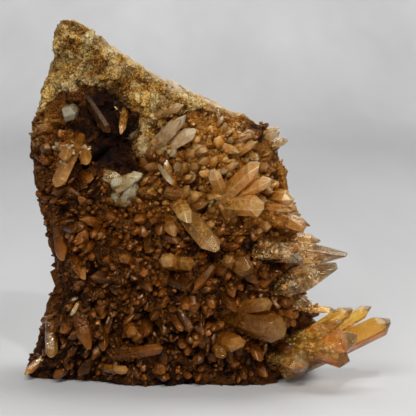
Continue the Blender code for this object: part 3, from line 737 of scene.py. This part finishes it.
def piece_of(name, verts, faces, attributes, material, slot, smooth=False):
    """A new piece of the object from lists in millimetres, with one number per vertex for each attribute."""
    mesh = bpy.data.meshes.new(name)
    mesh.from_pydata([shown(v) for v in verts], [], faces)
    for key, values in attributes.items():
        set_numbers(mesh, key, values)
    for face in mesh.polygons:
        face.use_smooth = smooth
    mesh.materials.append(material)
    obj = linked(name, mesh)
    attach(obj, "root")
    return obj


class Nodes:
    """The nodes of one material, or of the world."""

    def __init__(self, owner):
        owner.use_nodes = True
        self.owner = owner
        self.tree = owner.node_tree
        self.shader = self.tree.nodes.get("Principled BSDF")

    def add(self, kind, inputs=(), **settings):
        """A new node. Inputs are (name or number, value or socket)."""
        made = self.tree.nodes.new(kind)
        for key, value in settings.items():
            setattr(made, key, value)
        for key, value in inputs:
            self.give(made, key, value)
        return made

    def give(self, node, key, value):
        """Sets a node's input to a value, a colour or another node's socket."""
        if isinstance(value, bpy.types.NodeSocket):
            self.tree.links.new(value, node.inputs[key])
        else:
            node.inputs[key].default_value = value

    def set(self, **values):
        """Sets the shader's inputs. A space in an input's name is written as an underscore."""
        for key, value in values.items():
            self.give(self.shader, key.replace("_", " "), value)

    def attribute(self, key):
        """The mesh's number of this name."""
        return self.add("ShaderNodeAttribute", attribute_name=key).outputs["Fac"]

    def vector(self, operation, *values):
        """The outcome of a vector operation."""
        return self.add("ShaderNodeVectorMath", enumerate(values), operation=operation).outputs[0]

    def maths(self, operation, *values, clamp=False):
        """The outcome of an operation on numbers."""
        return self.add("ShaderNodeMath", enumerate(values), operation=operation, use_clamp=clamp).outputs[0]

    def times(self, value, factor, plus=None):
        """Value times factor, plus a number if there is one."""
        if plus is None:
            return self.maths("MULTIPLY", value, factor)
        return self.maths("MULTIPLY_ADD", value, factor, plus)

    def millimetres(self):
        """Object coordinates in millimetres."""
        place = self.add("ShaderNodeTexCoord").outputs["Object"]
        return self.vector("MULTIPLY", place, (1000, 1000, 1000))

    def noise(self, where, size, detail=3.0, rough=0.55):
        """Noise from 0 to 1 with features of this size in millimetres."""
        inputs = [("Vector", where), ("Scale", 1 / size), ("Detail", detail), ("Roughness", rough)]
        return self.add("ShaderNodeTexNoise", inputs).outputs["Fac"]

    def ramp(self, value, stops):
        """A colour ramp. Stops are (place, colour)."""
        made = self.add("ShaderNodeValToRGB", [("Fac", value)])
        points = made.color_ramp.elements
        while len(points) < len(stops):
            points.new(0.5)
        for point, (place, colour) in zip(points, stops):
            point.position = place
            point.color = (*colour, 1.0)
        return made.outputs["Color"]

    def mixed(self, share, one, two, blend="MIX"):
        """Colour one, with this share of colour two."""
        made = self.add("ShaderNodeMix", data_type="RGBA", blend_type=blend)
        for key, value in ((0, share), (6, one), (7, two)):
            self.give(made, key, (*value, 1.0) if isinstance(value, tuple) else value)
        return made.outputs[2]

    def span(self, value, start, end, low=0.0, high=1.0):
        """Value, stretched from start..end to low..high and held there."""
        inputs = [("Value", value), ("From Min", start), ("From Max", end), ("To Min", low), ("To Max", high)]
        return self.add("ShaderNodeMapRange", inputs, clamp=True).outputs["Result"]

    def bump(self, height, strength, distance):
        """Roughens the shader by a height."""
        inputs = [("Height", height), ("Strength", strength), ("Distance", distance)]
        self.set(Normal=self.add("ShaderNodeBump", inputs).outputs["Normal"])


def rock_material():
    """Granular tan rock where it is bare, a rusty brown crust between the crystals, and a cream ledge, with painted
    shade and painted light on them.
    """
    t = Nodes(bpy.data.materials.new("matrix_rock"))
    where = t.millimetres()
    # Two sizes of grains, on coordinates that wander so that no grain is regular.
    warp = t.add("ShaderNodeTexNoise", [("Vector", where), ("Scale", 0.3), ("Detail", 4.0)]).outputs["Color"]
    bent = t.vector("MULTIPLY_ADD", warp, (4.0, 4.0, 4.0), where)
    grain, fine = (t.add("ShaderNodeTexVoronoi", [("Vector", bent), ("Scale", scale)]) for scale in (0.55, 1.3))
    pick = t.add("ShaderNodeSeparateColor", [("Color", grain.outputs["Color"])]).outputs["Red"]
    pick_fine = t.add("ShaderNodeSeparateColor", [("Color", fine.outputs["Color"])]).outputs["Green"]

    # Thin veins follow the middle values of a noise, and another noise breaks them up.
    vein = t.maths("ABSOLUTE", t.maths("SUBTRACT", t.noise(bent, 10.0, 4.0, 0.62), 0.5))
    vein = t.maths("MAXIMUM", t.span(vein, 0.002, 0.020), t.span(t.noise(where, 6.0), 0.50, 0.58))

    # The level picks the colour: it is low in hollows and high on ridges, with grit on it, which paints shade into
    # the hollows and light onto the ridges.
    rough_noise = t.noise(where, 3.6, 5.0, 0.75)
    grit = t.noise(where, 1.1, 5.0, 0.8)
    level = t.times(t.span(t.attribute("rise"), 0.0, 1.0), 0.42, t.times(rough_noise, 0.5))
    level = t.times(t.maths("SUBTRACT", grit, 0.5), 2.0, t.maths("ADD", level, 0.04))
    level = t.times(t.maths("SUBTRACT", pick, 0.5), 0.12, level)

    # Bare rock: cream and golden areas, olive ones on them, dark grains and veins.
    cream, golden, olive = (t.ramp(level, stops) for stops in (CREAM_ROCK, GOLDEN_ROCK, OLIVE_ROCK))
    bare = t.mixed(t.span(t.noise(where, 13.0, 4.0, 0.6), 0.42, 0.52), cream, golden)
    shifted = t.vector("ADD", where, (90.0, 40.0, 20.0))
    bare = t.mixed(t.span(t.noise(shifted, 11.0, 4.0, 0.6), 0.54, 0.6), bare, olive)
    bare = t.mixed(t.span(pick_fine, 0.80, 0.9, 0.0, 0.5), bare, DARK_GRAIN)
    bare = t.mixed(vein, VEIN, bare)

    crust, honey = (t.ramp(level, stops) for stops in (RUSTY_CRUST, HONEY_CRUST))
    crust = t.mixed(t.attribute("pale"), crust, honey)
    # The ledge's cream is painted light on the up-facing top face.
    ledge = t.ramp(t.noise(where, 9.0, 5.0, 0.65), LIT_LEDGE)
    mask = t.maths("ADD", t.attribute("bare"), t.times(rough_noise, 1.2, -0.6))
    colour = t.mixed(t.span(mask, 0.35, 0.65), crust, bare)
    colour = t.mixed(t.attribute("ledge"), colour, ledge)
    # Painted shade in the pocket and low on the front darkens the colour.
    shade = t.ramp(t.attribute("shade"), ((0.0, (1.0, 1.0, 1.0)), (1.0, POCKET_SHADE)))
    colour = t.mixed(1.0, colour, shade, "MULTIPLY")
    t.set(Base_Color=colour, Roughness=t.span(t.noise(where, 2.0), 0.3, 0.7, 0.7, 0.98), Specular_IOR_Level=0.12)

    height = t.times(grain.outputs["Distance"], -0.5, rough_noise)
    height = t.times(fine.outputs["Distance"], -0.35, height)
    height = t.times(grit, 0.7, height)
    t.bump(t.times(vein, 0.7, height), 1.0, 0.0022)
    return t.owner


def flakes(t, where, along, amounts):
    """How much golden and how much white flake there is at a place. White flakes are partly white veils and partly
    painted glints. Flakes gather in patches, away from the tip.
    """
    golden_amount, white_amount, size = amounts
    gathered = t.times(t.span(t.noise(where, 7.0), 0.42, 0.56), t.span(along, 0.6, 0.9, 1.0, 0.15))
    golden = t.span(t.noise(where, size, 3.0, 0.7), 0.47, 0.47 + 0.06 * size)
    shifted = t.vector("ADD", where, (20.0, 50.0, 80.0))
    white = t.span(t.noise(shifted, 1.3, 3.0, 0.75), 0.585, 0.62)
    return t.times(golden, t.times(gathered, golden_amount)), t.times(white, t.times(gathered, white_amount))


def growth_lines(t):
    """Noise that runs along each crystal, so that its lines go round it."""
    ends = [("X", t.times(t.attribute("along"), 1.6)), ("Y", t.times(t.attribute("tone"), 57.0))]
    place = t.add("ShaderNodeCombineXYZ", ends).outputs[0]
    return t.add("ShaderNodeTexNoise", [("Vector", place), ("Scale", 1.0), ("Detail", 2.0)]).outputs["Fac"]


def quartz_material(name, clear, milky, low, high, roughness, shine, inner=None, specks=None):
    """Quartz with rusty roots and pale ends, by a row of FINISHES."""
    t = Nodes(bpy.data.materials.new(name))
    where = t.millimetres()
    along = t.attribute("tip")
    tone = t.attribute("tone")
    # The colour runs from root to tip with clouds in it, and from dark to pale by the crystal's own draw.
    cloud = t.maths("SUBTRACT", t.noise(where, 3.5, 4.0, 0.65), 0.5)
    wander = t.times(cloud, 1.3, t.times(along, 0.7, 0.15))
    colours = [t.ramp(wander, ((0.05, root), (0.45, body), (0.95, tip))) for root, body, tip in (low, high)]
    draw = t.maths("SUBTRACT", tone, 0.5)
    colour = t.mixed(t.maths("MULTIPLY_ADD", draw, 0.5, t.attribute("pale"), clamp=True), *colours)
    colour = t.mixed(1.0, colour, t.span(tone, 0.0, 1.0, 0.7, 1.25), "MULTIPLY")
    spots = t.noise(where, 1.3, 4.0, 0.7)
    colour = t.mixed(t.times(t.span(spots, 0.56, 0.68), t.span(along, 0.1, 0.9, 0.8, 0.25)), colour, low[0])
    if specks:
        golden, white = flakes(t, where, along, specks)
        # White flakes, partly painted glints, are mixed into the colour.
        colour = t.mixed(white, t.mixed(golden, colour, GOLDEN_FLAKE), WHITE_FLAKE_AND_GLINT)
        clear = t.span(t.maths("MAXIMUM", golden, white), 0.0, 1.0, clear, 0.1)
    t.set(
        Base_Color=colour, Roughness=t.span(t.noise(where, 1.6), 0.3, 0.72, *roughness), IOR=QUARTZ_IOR,
        Transmission_Weight=clear, Specular_IOR_Level=shine[0], Specular_Tint=(*shine[1], 1.0),
        Subsurface_Weight=milky, Subsurface_Radius=MILKY_RADIUS, Subsurface_Scale=MILKY_SCALE,
    )
    t.bump(t.times(growth_lines(t), 0.6, spots), 0.3, 0.0005)
    if inner:
        density, tint = inner
        volume = t.add("ShaderNodeVolumeAbsorption", [("Color", (*tint, 1.0)), ("Density", density)])
        t.give(t.tree.nodes["Material Output"], "Volume", volume.outputs[0])
    return t.owner


# A crystal's faces: sides between three rings of six corners, ends up to a ridge from 18 to 19, and the root.
CRYSTAL_FACES = [(r + k, r + (k + 1) % 6, r + (k + 1) % 6 + 6, r + k + 6) for r in (0, 6) for k in range(6)]
CRYSTAL_FACES += [(17, 12, 18), (12, 13, 18), (14, 15, 19), (15, 16, 19), (13, 14, 19, 18), (16, 17, 18, 19)]
CRYSTAL_FACES += [(5, 4, 3, 2, 1, 0)]


class Crystals:
    """Collects crystals into one piece. Each one's paleness is this number, or else that of its place."""

    def __init__(self, pale=None):
        self.pale = pale
        self.verts, self.faces = [], []
        self.values = {"tip": [], "tone": [], "pale": [], "along": []}

    def add(self, root, tip, width, flatness, roll, cap, lifts, rng, blunt=RIDGE):
        """One quartz crystal with sides of unequal width, a slight taper, and six unequal end faces."""
        axis = (tip - root).normalized()
        sink = ROOT_SINK * width
        length = (tip - root).length + sink
        turn = axis.to_track_quat("Z", "Y").to_matrix() @ Matrix.Rotation(math.radians(roll), 3, "Z")
        radius = width / 2
        cap_length = min(MOST_CAP * length, cap * width)
        start = root - axis * sink
        tone, pale = rng.random(), paleness(root) if self.pale is None else self.pale
        first = len(self.verts)
        # Each corner's angle and distance, and each ring's height and size: root, middle, and foot of the cap.
        corners = [(60 * k + rng.uniform(-CORNER_TURN, CORNER_TURN), rng.uniform(*CORNER_REACH)) for k in range(6)]
        shoulder = length - cap_length
        foot, waist, neck = RING_SIZES
        waist += rng.uniform(-RING_STRAY, RING_STRAY)
        levels = [(0.0, foot), (shoulder * MIDDLE_RING, waist), (shoulder, neck)]

        def vertex(x, y, up, share):
            self.verts.append(start + turn @ Vector((x, y, up)))
            for key, value in (("tip", max(0.0, share)), ("tone", tone), ("pale", pale), ("along", up)):
                self.values[key].append(value)

        for number, (height, size) in enumerate(levels):
            for (angle, reach), lift in zip(corners, lifts):
                angle = math.radians(angle)
                flat = Vector((math.cos(angle), math.sin(angle) * flatness)) * radius * size * reach
                up = height + (lift * cap_length if number == 2 else 0)
                vertex(flat.x, flat.y, up, (up - sink) / (length - sink))
        for side in (1, -1):
            vertex(side * blunt * radius, 0, length, 1.0)
        self.faces += [tuple(first + k for k in face) for face in CRYSTAL_FACES]

    def small(self, root, tip, width, cap, rng):
        """A small crystal with a fixed flatness and ridge."""
        self.add(root, tip, width, SMALL_FLATNESS, rng.uniform(0, 60), cap, uneven(rng), rng, blunt=SMALL_RIDGE)

    def piece(self, name, material, slot, bevel, segments=1, edges=None):
        """The crystals as one piece with worn edges, which may have a material of their own that paints a highlight
        along them.
        """
        obj = piece_of(name, self.verts, self.faces, self.values, material, slot, smooth=segments > 1)
        if edges:
            obj.data.materials.append(edges)
        edge = obj.modifiers.new("worn_edges", "BEVEL")
        edge.width = bevel * MM
        edge.segments = segments
        edge.limit_method = "ANGLE"
        edge.angle_limit = math.radians(WORN_FROM)
        edge.material = 1 if edges else -1
        return obj


def fine_rise(p):
    """Small broken facets and lumps, on top of the CAD's."""
    wave, bend = FINE_WAVES
    p = p + noise.noise_vector(p / wave) * bend
    return sum(rises_at(p, FINE_FACETS, 2)) + sum(high * noise.noise(p / wide) for wide, high in FINE_LUMPS)


def height_on(line, x):
    """The line's height at x."""
    for (ax, az), (bx, bz) in zip(line, line[1:]):
        if x <= bx:
            return az + (bz - az) * max(0.0, (x - ax) / (bx - ax))
    return line[-1][1]


def top_face(place, normal):
    """How far a place is on the slanted top face, right of the peak."""
    return ramp(normal.z, 0.4, 0.75) * ramp(place.x, -66, -50) * ramp(place.z, 120, 145)


def rock_masks(place, normal):
    """(bare, ledge, shade) at a place on the skin. The ledge is where light is painted on the top face, and shade
    is painted shade in the pocket and low on the front.
    """
    x, z = front_place(place)
    wander = 6 * noise.noise(place / 9.0)
    back = ramp(normal.y, -0.1, 0.45)
    bare = max(ramp(z + wander - height_on(BARE_LINE, x), -5, 5), back, min(1.0, spots_at(ROCKY, x, z)))
    # The ledge is the up-facing top face near the front, where light is painted.
    ledge = top_face(place, normal) * ramp(place.y + wander, -16, -6)
    # Painted shade: dark in the pocket, and darker towards the bottom of the front, but not on the back.
    painted_pocket_shade = sum(math.exp(-(((x - a) / r) ** 2 + ((z - b) / s) ** 2) * 1.2) for a, b, r, s in CAVITY)
    low = ramp(70 - z + wander, 0, 60) * 0.35 * (1 - back)
    return bare, ledge, min(1.0, painted_pocket_shade * (1 - back) + low)


def skin():
    """The rock in fine detail, as (vertices, faces, attributes)."""
    rock = voxel_plate("fine_rock", FINE_VOXEL)
    mesh = rock.data
    normals = [v.normal.copy() for v in mesh.vertices]
    low, high = own_corners(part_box("matrix_rock"))
    rises = []
    for v, out in zip(mesh.vertices, normals):
        rise = fine_rise(v.co)
        kept = max(FINE_RIM, rim_share(out)) * (1 - TOP_SMOOTH * top_face(v.co, out))
        moved = v.co + out * (lumps_at(v.co) * rim_share(out) + rise * kept)
        v.co = held(moved, low, high)
        rises.append(rise)
    set_numbers(mesh, "rise", rises)
    bm = bmesh.new()
    bm.from_mesh(mesh)
    cut_foot(bm)
    bm.normal_update()
    bm.verts.ensure_lookup_table()
    verts = [v.co.copy() for v in bm.verts]
    masks = [rock_masks(v.co, v.normal) for v in bm.verts]
    layer = bm.verts.layers.float["rise"]
    values = {"rise": [0.5 + v[layer] / 4 for v in bm.verts]}
    bm.verts.index_update()
    faces = [tuple(v.index for v in f.verts) for f in bm.faces]
    bm.free()
    bpy.data.objects.remove(rock)
    values.update(zip(("bare", "ledge", "shade"), zip(*masks)))
    values["pale"] = [paleness(p) for p in verts]
    return verts, faces, values


def in_box(place, margin):
    """Whether a place is in the CAD's box, this far from its sides."""
    return all(a + margin < b < c - margin for a, b, c in zip(CAD_LOW, place, CAD_HIGH))


def patch_of(group, root, tip, width, rng):
    """Small clear crystals side by side, in place of one."""
    for _ in range(PATCH_CRYSTALS):
        beside = random_vector(rng, 0.45) * width
        lean = random_vector(rng, 0.7)
        start = root.lerp(tip, 0.4) + beside
        end = start + ((tip - root).normalized() + lean).normalized() * width * rng.uniform(0.3, 0.6)
        size = width * rng.uniform(0.35, 0.7)
        group.small(start, end, size, 0.5, rng)


def kind_of(pale):
    """Which druse a crystal of this paleness belongs to."""
    return "honey" if pale > HONEY_FROM else "rusty"


def fine_druse(groups, rock, large, looks, seed, field, step, widths, heights, clear, wild):
    """Adds a coat of small druse to the groups, clear of the large points."""
    rng = random.Random(seed)
    xs, zs = zip(*field)
    z = min(zs)
    row = 0
    while z < max(zs):
        x = min(xs) + (step / 2 if row % 2 else 0)
        while x < max(xs):
            at_x, at_z = (value + rng.uniform(-PLACE_STRAY, PLACE_STRAY) * step for value in (x, z))
            x += step
            at, normal, _, _ = rock.ray_cast(EYE, sight(at_x, at_z))
            lean = random_vector(rng, wild)
            size, length, chance = rng.random(), rng.random(), rng.random()
            if at is None or not inside(at_x, at_z, field):
                continue
            if any(math.hypot(at_x - a, at_z - b) < r * FREE_SHARE for a, b, r in CLEARINGS):
                continue
            width = widths[0] + (widths[1] - widths[0]) * size ** 1.5
            width *= 1 + 0.5 * noise.noise(at / WIDTH_SIZE)
            height = heights[0] + (heights[1] - heights[0]) * length
            tip = at + (growth_direction(at, normal, rng) + lean).normalized() * width * height
            if min(at.z, tip.z) < FOOT_HEIGHT + width * 0.55:
                continue
            if noise.noise(at / CROWD_SIZE) < SPARSE and chance < SPARSE_LOSS:
                continue
            if any(far_from(a.lerp(b, 0.35), b, tip) < clear * wide / 2 for a, b, wide in large):
                continue
            if not (in_box(at, width / 2) and in_box(tip, width / 2)):
                continue
            kind = kind_of(paleness(at) + rng.uniform(-KIND_STRAY, KIND_STRAY))
            if kind == "rusty" and "lower" in groups and at.z < LOWER_END:
                kind = "lower"
            shape = rng.uniform(*COAT_FLATNESS), rng.uniform(0, 60), rng.uniform(*COAT_CAP), uneven(rng)
            groups[kind].add(at, tip, width, *shape, looks, blunt=rng.uniform(*COAT_RIDGE))
            if chance > TWIN_FROM:
                beside = random_vector(rng, 0.5) * width
                twin_tip = tip + beside * 1.2 - (tip - at) * 0.2
                groups[kind].add(at + beside, twin_tip, width * TWIN_WIDTH, *shape, looks, blunt=COAT_RIDGE[0])
        z += step * ROW_SHARE
        row += 1


def skirt(group, points, box, low, high, number, width, pale, rng):
    """Small crystals that stand on the sides of a node's points, inside its box."""
    was, group.pale = group.pale, pale
    for _ in range(number):
        root, tip, wide, flatness = rng.choice(points)
        axis = (tip - root).normalized()
        out = axis.cross(random_vector(rng, 1)).normalized()
        at = root.lerp(tip, rng.uniform(low, high)) + out * wide * 0.40 * flatness
        size = width * rng.uniform(0.6, 1.3)
        end = at + (out + axis * rng.uniform(0.0, 1.0)).normalized() * size * rng.uniform(0.5, 0.9)
        end = held(end, *own_corners(box), SKIRT_MARGIN)
        if (end - at).length > SKIRT_LEAST:
            group.small(at, end, size, 0.5, rng)
    group.pale = was


def clump(group, rock, x, z, width, number, pale, rng):
    """Small pale crystals around the place (x, z) of the front view."""
    group.pale = pale
    for _ in range(number):
        aim = x + rng.uniform(-1, 1) * width, z + rng.uniform(-1, 1) * width
        at, normal, _, _ = rock.ray_cast(EYE, sight(*aim))
        lean = random_vector(rng, 0.4)
        size = width * rng.uniform(0.7, 1.2)
        if at is None:
            continue
        tip = at + (growth_direction(at, normal, rng) + lean).normalized() * size * rng.uniform(0.8, 1.6)
        if in_box(tip, size / 2) and tip.z > FOOT_HEIGHT + size / 2:
            group.small(at, tip, size, 0.6, rng)


def stage():
    """A pale floor that curves up into a pale wall, with painted shade and light on its paper."""
    turns = [k * math.pi / 2 / BEND_STEPS for k in range(BEND_STEPS + 1)]
    bend = [(FLOOR_END + BEND * math.sin(t), BEND - BEND * math.cos(t)) for t in turns]
    profile = [(FLOOR_START, 0.0), *bend, (FLOOR_END + BEND, WALL_TOP)]
    mesh = bpy.data.meshes.new("backdrop")
    verts = [(x, y, z) for y, z in profile for x in (-HALF_WIDTH, HALF_WIDTH)]
    mesh.from_pydata(verts, [], [(2 * k, 2 * k + 1, 2 * k + 3, 2 * k + 2) for k in range(len(profile) - 1)])
    for face in mesh.polygons:
        face.use_smooth = True
    t = Nodes(bpy.data.materials.new("backdrop"))
    where = t.millimetres()
    # Painted shade and light: the folds' dark and light sides, the paper lighter far behind and darker in front.
    painted_folds = t.noise(t.vector("MULTIPLY", where, FOLD_STRETCH), FOLD_SIZE)
    near, distant = (t.ramp(painted_folds, stops) for stops in (NEAR_PAPER, LIT_FAR_PAPER))
    depth = t.add("ShaderNodeSeparateXYZ", [(0, where)]).outputs["Y"]
    colour = t.mixed(t.span(depth, 1500.0, 2700.0), near, distant)
    t.set(Base_Color=t.mixed(t.span(depth, -1000.0, -350.0), SHADED_FRONT_PAPER, colour), Roughness=0.9)
    mesh.materials.append(t.owner)
    floor = linked("backdrop", mesh)


def area_light(name, place, aim, size, power, colour):
    """A round light that points from its place at its aim."""
    lamp = bpy.data.lights.new(name, "AREA")
    lamp.shape = "DISK"
    lamp.size = size
    lamp.energy = power
    lamp.color = colour
    obj = linked(name, lamp)
    obj.location = place
    obj.rotation_euler = (Vector(aim) - Vector(place)).to_track_quat("-Z", "Y").to_euler()


def room_light():
    """Even light from all round, by ROOM."""
    world = bpy.data.worlds.new("studio")
    bpy.context.scene.world = world
    t = Nodes(world)
    way = t.add("ShaderNodeSeparateXYZ", [(0, t.add("ShaderNodeTexCoord").outputs["Generated"])])
    t.give(t.tree.nodes["Background"], "Color", t.ramp(t.span(way.outputs["Y"], -1, 1), ROOM))


def front_camera():
    """The camera that took the front view."""
    camera = bpy.data.cameras.new("camera")
    camera.lens = LENS
    camera.sensor_width = SENSOR
    camera.shift_x = 0.5 / PICTURE_WIDTH
    camera.clip_start = 0.01
    viewer = linked("camera", camera)
    viewer.location = shown(EYE)
    viewer.rotation_euler = (MIDDLE - EYE).to_track_quat("-Z", "Y").to_euler()
    bpy.context.scene.camera = viewer


rock_finish = rock_material()
finishes = {name: quartz_material(name, *row) for name, row in FINISHES.items()}

# The CAD's own rock shows where its points and its druse stand.
coarse = bare_rock()
cad_tree = BVHTree.FromPolygons([v.co for v in coarse.data.vertices], [p.vertices for p in coarse.data.polygons])
bpy.data.objects.remove(coarse)
rng = random.Random(DRUSE_SEED)
looks = random.Random(LOOKS_SEED)

# Large points, one piece for each node. Each is kept as (root, tip, width, flatness).
grown = {}
for name, points in POINTS.items():
    group = Crystals(PALE_NODES.get(name))
    grown[name] = []
    for point in points:
        root, tip = placed(cad_tree, point)
        lifts = uneven(rng)
        width, flatness = point[5:7]
        grown[name].append((root, tip, width, flatness))
        if name == "pale_quartz_patch":
            patch_of(group, root, tip, width, looks)
        else:
            group.add(root, tip, *point[5:], lifts, looks)
    finish = FINISH_OF.get(name, SLOT_OF[name])
    edges = finishes["highlit_golden_edges"] if finish in EDGED_FINISHES else None
    piece = group.piece(name + "_fine", finishes[finish], SLOT_OF[name], POINT_EDGE, edges=edges)
    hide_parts(name)
large = [(root, tip, width) for points in grown.values() for root, tip, width, _ in points]

# The CAD's druse, then the rock's skin and the finer coats that grow on it.
druse_points = {"rusty": Crystals(), "honey": Crystals()}
for root, tip, width, roll, lifts in druse(cad_tree, large, rng):
    druse_points[kind_of(paleness(root))].add(root, tip, width, 1.0, roll, DRUSE_CAP, lifts, looks)
verts, faces, values = skin()
skin_piece = piece_of("matrix_rock_skin", verts, faces, values, rock_finish, "matrix")
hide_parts("matrix_rock")
skin_tree = BVHTree.FromPolygons(verts, faces)
fine_druse(druse_points, skin_tree, large, looks, POINTS_SEED, **POINTS_COAT)
druse_crust = {"rusty": Crystals(), "lower": Crystals(), "honey": Crystals()}
fine_druse(druse_crust, skin_tree, large, looks, CRUST_SEED, **CRUST_COAT)

pale_clumps = Crystals()
for number, (name, *row) in enumerate(SKIRTS):
    pale = row[-1]
    group = pale_clumps if pale > 1 else druse_crust[kind_of(pale)]
    skirt(group, grown[name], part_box(name), *row, random.Random(SKIRT_SEED + number))
clump_rng = random.Random(CLUMP_SEED)
for row in PALE_CLUMPS:
    clump(pale_clumps, skin_tree, *row, clump_rng)

pale_clumps.piece("pale_druse_clumps", finishes["light_quartz"], "golden_quartz", POINT_EDGE)
for kind, slot in (("rusty", "rusty_quartz"), ("honey", "golden_quartz")):
    finish = finishes[kind + "_druse"]
    druse_points[kind].piece("druse_points_" + kind, finish, slot, DRUSE_EDGE, segments=2)
    druse_crust[kind].piece("druse_crust_" + kind, finish, slot, CRUST_EDGE, segments=2)
druse_crust["lower"].piece("druse_crust_lower", finishes["rusty_druse"], "rusty_quartz", CRUST_EDGE, segments=2)

stage()
for row in LIGHTS:
    area_light(*row)
room_light()
bpy.context.scene.view_settings.view_transform = "Standard"
front_camera()
